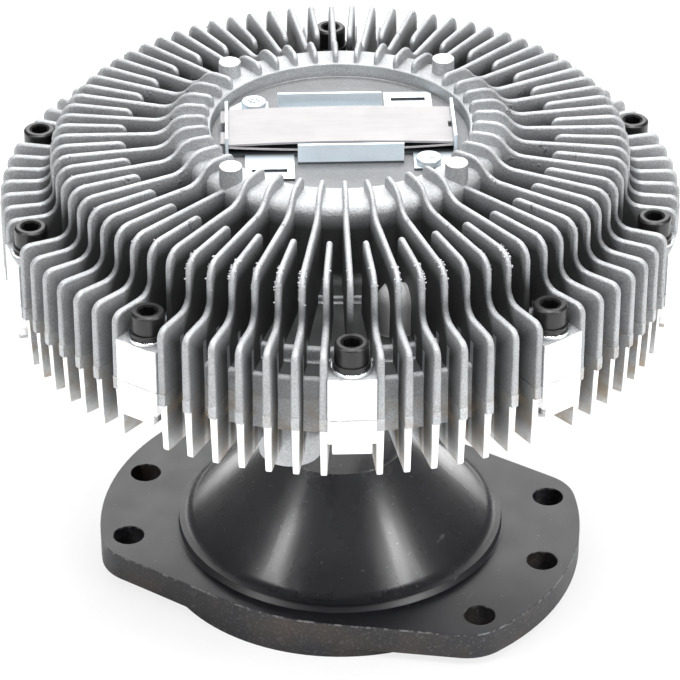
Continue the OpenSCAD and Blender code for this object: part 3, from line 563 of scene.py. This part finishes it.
def is_joint(edge):
    corner = len(edge.link_faces) == 2 and edge.calc_face_angle() > 1
    return corner and all(at_seam(point.co.z) for point in edge.verts)


def fin(corners, thin_z, thin, thick_z, thick, crest_round, segments):
    shape = rounded_outline(corners)
    grown = bmesh.ops.extrude_face_region(shape, geom=shape.faces[:])
    far = {item for item in grown["geom"] if isinstance(item, bmesh.types.BMVert)}
    for point in shape.verts:
        share = (point.co.z / MM - thin_z) / (thick_z - thin_z)
        half = (thin + (thick - thin) * share) / 2 * MM
        point.co.y = half if point in far else -half
    shape.normal_update()
    round_off(shape, [edge for edge in shape.edges if is_crest(edge)], crest_round, segments, clamp=True)
    round_off(shape, [edge for edge in shape.edges if is_joint(edge)], GROOVE, 1, clamp=True)
    mesh = bpy.data.meshes.new("fin")
    shape.to_mesh(mesh)
    shape.free()
    return mesh


print("groove of the joint:", GROOVE, "mm to each side")

# %% [markdown]
# ## Four kinds of fin
# Fins of the cover share their ends. A long fin climbs over the boss, a fin behind a cast post starts at the boss's
# wall, and a short one starts on the deck. All run out to the rim, apart from those that stop behind a screw. Their
# roots run a little way into the metal below.

# %% Fins of the cover
STEP_R, CREST_BEND = 115.3, 6.8
BOSS_CREST_Z, BOSS_ROOT_Z = 211.2, 204
INNER_R, SLOPE_TOP_R, SLOPE_FOOT_R, SHORT_R = 52.4, 65.2, 70.2, 85
DECK_Z, LEDGE_Z = 171.2, 164.7
ROOT = 2
wall, deck, ledge = BOSS_R - ROOT, DECK_Z - ROOT, LEDGE_Z - ROOT
over_boss = [(wall, BOSS_ROOT_Z, 0), (INNER_R, BOSS_ROOT_Z, 0), (INNER_R, BOSS_CREST_Z, 3.0),
             (SLOPE_TOP_R, BOSS_CREST_Z, 4.4), (SLOPE_FOOT_R, MAIN_Z, 4.4)]
from_wall = [(wall, MAIN_Z, 0)]
from_deck = [(SHORT_R, deck, 0), (SHORT_R, MAIN_Z, 3.2)]
to_deck = [(DECK_R - ROOT, ledge, 0), (DECK_R - ROOT, deck, 0)]
to_rim = [(STEP_R, MAIN_Z, CREST_BEND), (STEP_R, OUTER_Z, 5.6), (RIM_R, OUTER_Z, 4.2), (RIM_R, SEAM_Z, 0),
          (LEDGE_R - ROOT, SEAM_Z, 0), (LEDGE_R - ROOT, ledge, 0)] + to_deck
to_screw = [(STEP_R, MAIN_Z, CREST_BEND), (STEP_R, ledge, 0)] + to_deck
to_wall = [(wall, deck, 0)]
draft = {"thin_z": 213.2, "thin": 2.0, "thick_z": 151.2, "thick": 3.4, "crest_round": 1.02, "segments": 4}
long_fin = fin(over_boss + to_rim + to_wall, **draft)
screw_fin = fin(over_boss + to_screw + to_wall, **draft)
post_fin = fin(from_wall + to_rim + to_wall, **draft)
short_fin = fin(from_deck + to_rim, **draft)
print("a long fin has", len(long_fin.polygons), "faces")

# %% [markdown]
# ## Front cover
# Around the fins come the turned form of the cover, ten lugs for its screws, four cast posts and one domed boss.
# The turned form is a closed outline spun once around the shaft: up from the joint over ledge, deck and collar to the
# boss, down into its recess, through the bore of the control pin, and back along the fluid store and the chamber.
# The parts overlap inside the metal, which is how a pattern maker would stack them, and only their outer faces show.

# %% Turned form and fins of the cover
COLLAR_Z, BOSS_TOP_Z = 173.4, 206.2
SEAL_R, SEAL_Z, PIN_BORE_R, GUIDE_R, GUIDE_Z = 5.4, 197.4, 3.05, 10, 185.7
STORE_R, STORE_Z, PLATE_R, PLATE_Z, CHAMBER_R, CHAMBER_Z = 55, 193.7, 63.55, 167.2, 108, 165.2
FINS = 80
FIN_STEP = 360 / FINS
cover = bmesh.new()
add_turned(cover, [
    (CHAMBER_R, SEAM_Z, 0), (LEDGE_R, SEAM_Z, 0), (LEDGE_R, LEDGE_Z, 1.6), (DECK_R, LEDGE_Z, 1.8),
    (DECK_R, DECK_Z, 1.8), (COLLAR_R, DECK_Z, 0.7), (COLLAR_R, COLLAR_Z, 0.9), (BOSS_R, COLLAR_Z, 4),
    (BOSS_R, BOSS_TOP_Z, 4.5), (RECESS_R, BOSS_TOP_Z, 0.7), (RECESS_R, RECESS_Z, 0.5), (SEAL_R, RECESS_Z, 0),
    (SEAL_R, SEAL_Z, 0), (PIN_BORE_R, SEAL_Z, 0), (PIN_BORE_R, GUIDE_Z, 0), (GUIDE_R, GUIDE_Z, 0),
    (GUIDE_R, STORE_Z, 0), (STORE_R, STORE_Z, 0), (STORE_R, PLATE_Z, 0), (PLATE_R, PLATE_Z, 0),
    (PLATE_R, CHAMBER_Z, 0), (CHAMBER_R, CHAMBER_Z, 0)])
for step in range(FINS):
    mesh = short_fin
    if step % (FINS // SCREWS) == 0:
        mesh = screw_fin
    elif step % 20 == 10:
        mesh = post_fin
    elif step % 2 == 0:
        mesh = long_fin
    add_mesh(cover, mesh, turned_by(FIN_STEP * step))
print("cover with fins:", len(cover.faces), "faces")

# %% Lugs, posts and dome of the cover
LUG_STEP, LUG_HALF, LUG_TOP_Z, LUG_ROUND = 360 / SCREWS, 9.25, 173.1, 0.5
POSTS, POST_RING, POST_ROOT_Z, POST_R, POST_TOP_R = 4, 61.5, 203, 4.6, 4.45
DOME_ROOT_Z = 169
for lug in range(SCREWS):
    block = rounded_block((LEDGE_R - ROOT, -LUG_HALF, SEAM_Z), (LUG_R, LUG_HALF, LUG_TOP_Z), LUG_ROUND)
    add_shape(cover, block, turned_by(LUG_STEP * lug))
for post in range(POSTS):
    stub = bmesh.new()
    add_turned(stub, [(0, POST_ROOT_Z, 0), (POST_R, POST_ROOT_Z, 0), (POST_TOP_R, POST_TOP_Z, 0.5),
                      (0, POST_TOP_Z, 0)], 40)
    add_shape(cover, stub, turned_by(360 / POSTS * (post + 0.5)) @ outwards(POST_RING))
dome = bmesh.new()
add_turned(dome, [(0, DOME_ROOT_Z, 0), (DOME_R, DOME_ROOT_Z, 0), (DOME_R, DOME_TOP_Z, DOME_ROUND),
                  (0, DOME_TOP_Z, 0)], 48)
add_shape(cover, dome, turned_by(DOME_TURN) @ outwards(DOME_RING))
print("cover with lugs, posts and dome:", len(cover.faces), "faces")

# %% [markdown]
# ## Burrs
# Small beads along the outer bend of the crests are the burrs that stay behind when a casting is trimmed, most of
# them on one side. Each is a coarse ball, squashed by chance and set on the rounded bend or on the flank below it.
# A fixed seed draws the same burrs every time.

# %% Burrs, and the finished cover
BURR_ARC = CREST_BEND - 0.3
burrs = random.Random(4)
for step in range(-FINS // 2, FINS // 2):
    most = 28 if abs(step) < 8 else 3
    for burr in range(burrs.randrange(most)):
        bend = burrs.uniform(-0.3, math.pi / 2)
        drop = burrs.choice((0, burrs.uniform(0, 6))) * (bend > 1.2)
        side = burrs.choice((-1, 1)) * burrs.uniform(0.7, 1.25)
        size = Matrix.Diagonal((burrs.uniform(0.2, 0.5), burrs.uniform(0.2, 0.65), burrs.uniform(0.2, 0.5), 1))
        spot = Vector((STEP_R - CREST_BEND + BURR_ARC * math.sin(bend), side,
                       MAIN_Z - CREST_BEND + BURR_ARC * math.cos(bend) - drop))
        place = turned_by(FIN_STEP * step) @ Matrix.Translation(spot * MM) @ size
        bmesh.ops.create_icosphere(cover, subdivisions=1, radius=MM, matrix=place)
cover.transform(turned_by(HOUSING_TURN))
make_piece("cover_casting", cover, "housing", "cover_casting", cover_finish, "front_cover")

# %% [markdown]
# ## Rear body
# The body is cast in the same way. Its fins hang down behind the fan, with a raised band at the joint and turned
# edges below it. The bearing's sleeve and six bosses for the fan's bolts complete it.

# %% Turned form and fins of the body
SLEEVE_R, SLEEVE_Z, BORE_R, BORE_Z, SHAFT_R = 61, 112, 45, 140, 40
RING_R, RING_LOW_Z, RING_HIGH_Z = 46.6, 117.5, 120
REAR_DECK_Z, REAR_CHAMBER_Z = 140.7, 146.7
body = bmesh.new()
add_turned(body, [
    (BORE_R, SLEEVE_Z, 0.6), (SLEEVE_R, SLEEVE_Z, 1), (SLEEVE_R, REAR_DECK_Z, 3), (LEDGE_R, REAR_DECK_Z, 1.2),
    (LEDGE_R, SEAM_Z, 0), (CHAMBER_R, SEAM_Z, 0), (CHAMBER_R, REAR_CHAMBER_Z, 0), (SHAFT_R, REAR_CHAMBER_Z, 0),
    (SHAFT_R, BORE_Z, 0), (BORE_R, BORE_Z, 0), (BORE_R, RING_HIGH_Z, 0), (RING_R, RING_HIGH_Z, 0),
    (RING_R, RING_LOW_Z, 0), (BORE_R, RING_LOW_Z, 0)])
rear_draft = {"thin_z": 126.2, "thin": 2.3, "thick_z": 159.2, "thick": 3.4, "crest_round": 0.6, "segments": 2}


def rear_fin(start):
    root, rear_root = LEDGE_R - ROOT, REAR_DECK_Z + ROOT
    return fin([(root, SEAM_Z, 0), (RIM_R, SEAM_Z, 0), (RIM_R, BAND_LOW_Z, 0.4), (EDGE_TOP_R, BAND_LOW_Z, 0),
                (EDGE_LOW_R, TIP_Z, 1.2), (start, TIP_Z, 4), (start, rear_root, 0), (root, rear_root, 0)],
               **rear_draft)


long_rear_fin, short_rear_fin = rear_fin(start=68), rear_fin(start=96)
for step in range(FINS):
    if step % (FINS // SCREWS):
        add_mesh(body, short_rear_fin if step % 2 else long_rear_fin, turned_by(FIN_STEP * step))
print("body with fins:", len(body.faces), "faces")

# %% Lugs and fan bosses, and the finished body
REAR_LUG_Z, FOOT_LOW_Z, FOOT_HIGH_Z, FOOT_HALF = 144.7, 140.2, 146, 7.5
FAN_BOSSES, FAN_RING, FAN_TURN = 6, 103, -12.5
FAN_BOSS_R, FAN_HOLE_R, FAN_FACE_Z, FAN_ROOT_Z = 12.2, 4.25, 118.8, 143
for lug in range(SCREWS):
    block = rounded_block((LEDGE_R - ROOT, -LUG_HALF, REAR_LUG_Z), (LUG_R, LUG_HALF, SEAM_Z), LUG_ROUND)
    foot = rounded_block((LEDGE_R - ROOT, -FOOT_HALF, FOOT_LOW_Z), (LUG_R - 0.01, FOOT_HALF, FOOT_HIGH_Z), LUG_ROUND)
    add_shape(body, block, turned_by(LUG_STEP * lug))
    add_shape(body, foot, turned_by(LUG_STEP * lug))
for boss in range(FAN_BOSSES):
    stub = bmesh.new()
    add_turned(stub, [(FAN_HOLE_R, FAN_FACE_Z, 0.5), (FAN_BOSS_R, FAN_FACE_Z, 0.8), (FAN_BOSS_R, FAN_ROOT_Z, 0),
                      (FAN_HOLE_R, FAN_ROOT_Z, 0)], 48)
    add_shape(body, stub, turned_by(360 / FAN_BOSSES * boss + FAN_TURN) @ outwards(FAN_RING))
body.transform(turned_by(HOUSING_TURN))
make_piece("body_casting", body, "housing", "body_casting", body_finish, "rear_body")

# %% [markdown]
# ## Softened edges
# Turned, pressed and headed parts have exact shapes already, but no real edge is perfectly sharp. A copy of such a
# solid is joined up, its flat faces are made whole again, and its sharp edges get a small bevel that catches light.


# %% Softened copies of exact solids
def softened(node, width, segments=2):
    shape = bmesh.new()
    shape.from_mesh(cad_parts[node].data)
    bmesh.ops.remove_doubles(shape, verts=shape.verts, dist=0.003 * MM)
    bmesh.ops.dissolve_limit(shape, angle_limit=math.radians(0.6), verts=shape.verts, edges=shape.edges)
    sharp = [edge for edge in shape.edges
             if len(edge.link_faces) == 2 and edge.calc_face_angle() > math.radians(32)]
    round_off(shape, sharp, width, segments, clamp=True)
    return shape


softened_pieces = [
    ("hub", "drive_hub", 0.6, "hub", "hub_steel", hub_finish),
    ("cover_screws", "cap_screws", 0.35, "housing", "black_fastener", fastener_finish),
    ("split_washers", "lock_washers", 0.3, "housing", "black_fastener", fastener_finish),
    ("plain_washers", "flat_washers", 0.3, "housing", "zinc_washer", zinc_finish),
    ("strip_bracket", "bimetal_bracket", 0.25, "housing", "zinc_sheet", sheet_finish),
]
for name, node, width, rides_on, slot, finish in softened_pieces:
    make_piece(name, softened(node, width), rides_on, slot, finish, node)

# %% [markdown]
# ## Cross recess
# The two pan-head screws of the bracket have a cross recess on the real part. A small grid is bridged to the head's
# rim, and its cross-shaped middle is extruded down and narrowed. The extrusion keeps the faces it starts from, so they
# still close the recess at the top, and only a faint trace of it shows. Deleting those faces would open it. Edges and
# faces are listed by a dictionary, because a set gives them in another order in each run.


# %% Screws of the bracket
def cross_faces(grid, centre, half):
    cross = []
    for face in dict.fromkeys(face for point in grid for face in point.link_faces):
        away = face.calc_center_median() - centre
        near, far = sorted((abs(away.x), abs(away.y)))
        if near < half * MM / 4 and far < half * MM * 3 / 4:
            cross.append(face)
    return cross


def cross_recessed(shape, half, depth):
    top = max(point.co.z for point in shape.verts)
    heads = [face for face in shape.faces if face.calc_center_median().z > top - 0.01 * MM]
    for head in heads:
        centre = head.calc_center_median()
        rim = list(head.edges)
        bmesh.ops.delete(shape, geom=[head], context="FACES_ONLY")
        grid = bmesh.ops.create_grid(shape, x_segments=8, y_segments=8, size=half * MM,
                                     matrix=Matrix.Translation(centre))["verts"]
        around = dict.fromkeys(edge for point in grid for edge in point.link_edges)
        border = [edge for edge in around if len(edge.link_faces) == 1]
        cross = cross_faces(grid, centre, half)
        bmesh.ops.bridge_loops(shape, edges=rim + border)
        sunk = bmesh.ops.extrude_face_region(shape, geom=cross)["geom"]
        floor = [item for item in sunk if isinstance(item, bmesh.types.BMVert)]
        bmesh.ops.translate(shape, vec=(0, 0, -depth * MM), verts=floor)
        bmesh.ops.scale(shape, vec=(0.75, 0.75, 1), space=Matrix.Translation(-centre), verts=floor)
    return shape


fixings = cross_recessed(softened("bracket_screws", 0.6, segments=3), half=3, depth=1.4)
make_piece("bracket_fixings", fixings, "housing", "zinc_screw", zinc_screw_finish, "bracket_screws")

# %% [markdown]
# ## The two strips
# When the air warms, the lower strip flattens and lets the control pin out. A rigid solid can't follow that; here its
# piece only gets a mesh of its own. Its colour is painted shade, the shade of the upper strip, so only its cut edges
# are light.

# %% Upper and lower strip
STRIP_EDGE = 14.3
make_piece("upper_strip", softened("upper_bimetal_strip", 0.12), "housing", "bimetal", strip_finish,
           "upper_bimetal_strip")
# The lower strip's finish is painted shade, the shade of the upper strip, apart from its light cut edges.
shaded_finish, shaded_shader, shaded_place = new_finish("bimetal_strip_painted_shade")
aside = along(turned_place(shaded_place, STRIP_TURN), "Y")
cut_edge = aside * aside > STRIP_EDGE ** 2
feed(shaded_shader, base_color=cut_edge.blend(grey(0.012), (0.4, 0.38, 0.38, 1)), metallic=0.15, roughness=0.6)
lower_strip = make_piece("lower_strip", softened("lower_bimetal_strip", 0.12), "housing", "bimetal", shaded_finish,
                         "lower_bimetal_strip")
strip_low, strip_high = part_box("lower_bimetal_strip")
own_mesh(lower_strip)
print("lower strip is", round((strip_high.z - strip_low.z) / MM, 2), "mm high at rest")

# %% [markdown]
# ## The pieces inside
# Bearing, rotor, plate and valve are hidden in the closed housing, and their exact solids are all they need. They
# still get a finish, because the housing may be opened or cut through in another picture.

# %% Finishes of the inner pieces
inner_finishes = {
    "bearing_inner_ring": bearing_finish, "bearing_outer_ring": bearing_finish, "bearing_balls": bearing_finish,
    "bearing_cage": brass_finish, "rotor_disc": rotor_finish, "bearing_seals": rubber_finish,
    "cover_seal": rubber_finish, "pin_seal": rubber_finish, "bearing_retaining_ring": spring_finish,
    "reservoir_plate": valve_finish, "control_pin": valve_finish, "valve_arm": valve_finish,
    "plate_screws": zinc_finish, "valve_rivet": zinc_finish,
}
for node, finish in inner_finishes.items():
    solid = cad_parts[node]
    solid.data.materials.clear()
    solid.data.materials.append(finish)
print("finished", len(inner_finishes), "inner pieces")

# %% [markdown]
# ## Floor
# The photograph has a white ground. The floor is a large square just below the seat face. To the camera it is mostly
# a plain white glow, and the rest of it is a matt white that keeps a soft shadow.

# %% Floor
floor_mesh = bpy.data.meshes.new("floor")
floor_shape = bmesh.new()
bmesh.ops.create_grid(floor_shape, x_segments=1, y_segments=1, size=4)
bmesh.ops.translate(floor_shape, vec=(0, 0, -0.2 * MM), verts=floor_shape.verts)
floor_shape.to_mesh(floor_mesh)
floor_shape.free()
floor = bpy.data.objects.new("floor", floor_mesh)
bpy.context.scene.collection.objects.link(floor)
floor_finish, floor_shader, floor_place = new_finish("white_floor")
feed(floor_shader, base_color=grey(0.9), roughness=0.9)
seen = floor_place.node("LightPath", {}, {}, out="Is Camera Ray")
glow = floor_place.node("Emission", {}, {"Color": (1, 1, 1, 1), "Strength": 1.0})
matt = Wire(floor_place.tree, floor_shader.outputs[0])
ground = floor_place.node("MixShader", {}, {0: seen * 0.8, 1: matt, 2: glow})
floor_place.tree.links.new(ground.socket, floor_place.tree.nodes["Material Output"].inputs["Surface"])
floor_mesh.materials.append(floor_finish)
print("floor:", tuple(round(side, 2) for side in floor.dimensions[:2]), "m")

# %% [markdown]
# ## Light
# Two tall, narrow lamps draw the streaks on the cone, a lamp above the camera lights the steps of the crests, and two
# lamps at the back light the crests themselves and the flange. Each lamp is placed by its angle around the shaft, its
# angle above the floor and its distance. The world is white to the camera, and lights the object much less.


# %% Lamps
def add_lamp(name, azimuth, elevation, distance, size, power, target=(0, 0, 0.13)):
    data = bpy.data.lights.new(name, "AREA")
    data.shape = "RECTANGLE"
    data.size, data.size_y = size
    data.energy = power
    lamp = bpy.data.objects.new(name, data)
    turn = math.radians(azimuth)
    lift = math.radians(elevation)
    away = Vector((math.sin(turn) * math.cos(lift), -math.cos(turn) * math.cos(lift), math.sin(lift)))
    lamp.location = Vector(target) + away * distance
    lamp.rotation_euler = away.to_track_quat("Z", "Y").to_euler()
    bpy.context.scene.collection.objects.link(lamp)


add_lamp("left_softbox", CAMERA_TURN - 58, 34, 1.4, (0.14, 1.0), 7.5)
add_lamp("right_softbox", CAMERA_TURN + 56, 34, 1.4, (0.24, 1.0), 12.5)
add_lamp("top_softbox", CAMERA_TURN + 180, 70, 1.4, (0.8, 0.5), 18)
add_lamp("front_softbox", CAMERA_TURN, 70, 1.5, (0.7, 0.4), 21)
add_lamp("back_softbox", CAMERA_TURN + 180, 30, 1.6, (2.0, 0.7), 18)

# %% World
FILL = 0.16
world = bpy.data.worlds.new("white_studio")
world.use_nodes = True
bpy.context.scene.world = world
background = world.node_tree.nodes["Background"]
background.inputs["Color"].default_value = (1, 1, 1, 1)
path = world.node_tree.nodes.new("ShaderNodeLightPath")
to_camera = Wire(world.node_tree, path.outputs["Is Camera Ray"])
glossy = Wire(world.node_tree, path.outputs["Is Glossy Ray"])
clear = Wire(world.node_tree, path.outputs["Is Transmission Ray"])
shown = (to_camera + clear + glossy * 0.12).math("MINIMUM", 1)
world.node_tree.links.new((shown * (1 - FILL) + FILL).socket, background.inputs["Strength"])
print("the world fills in with a strength of", FILL)
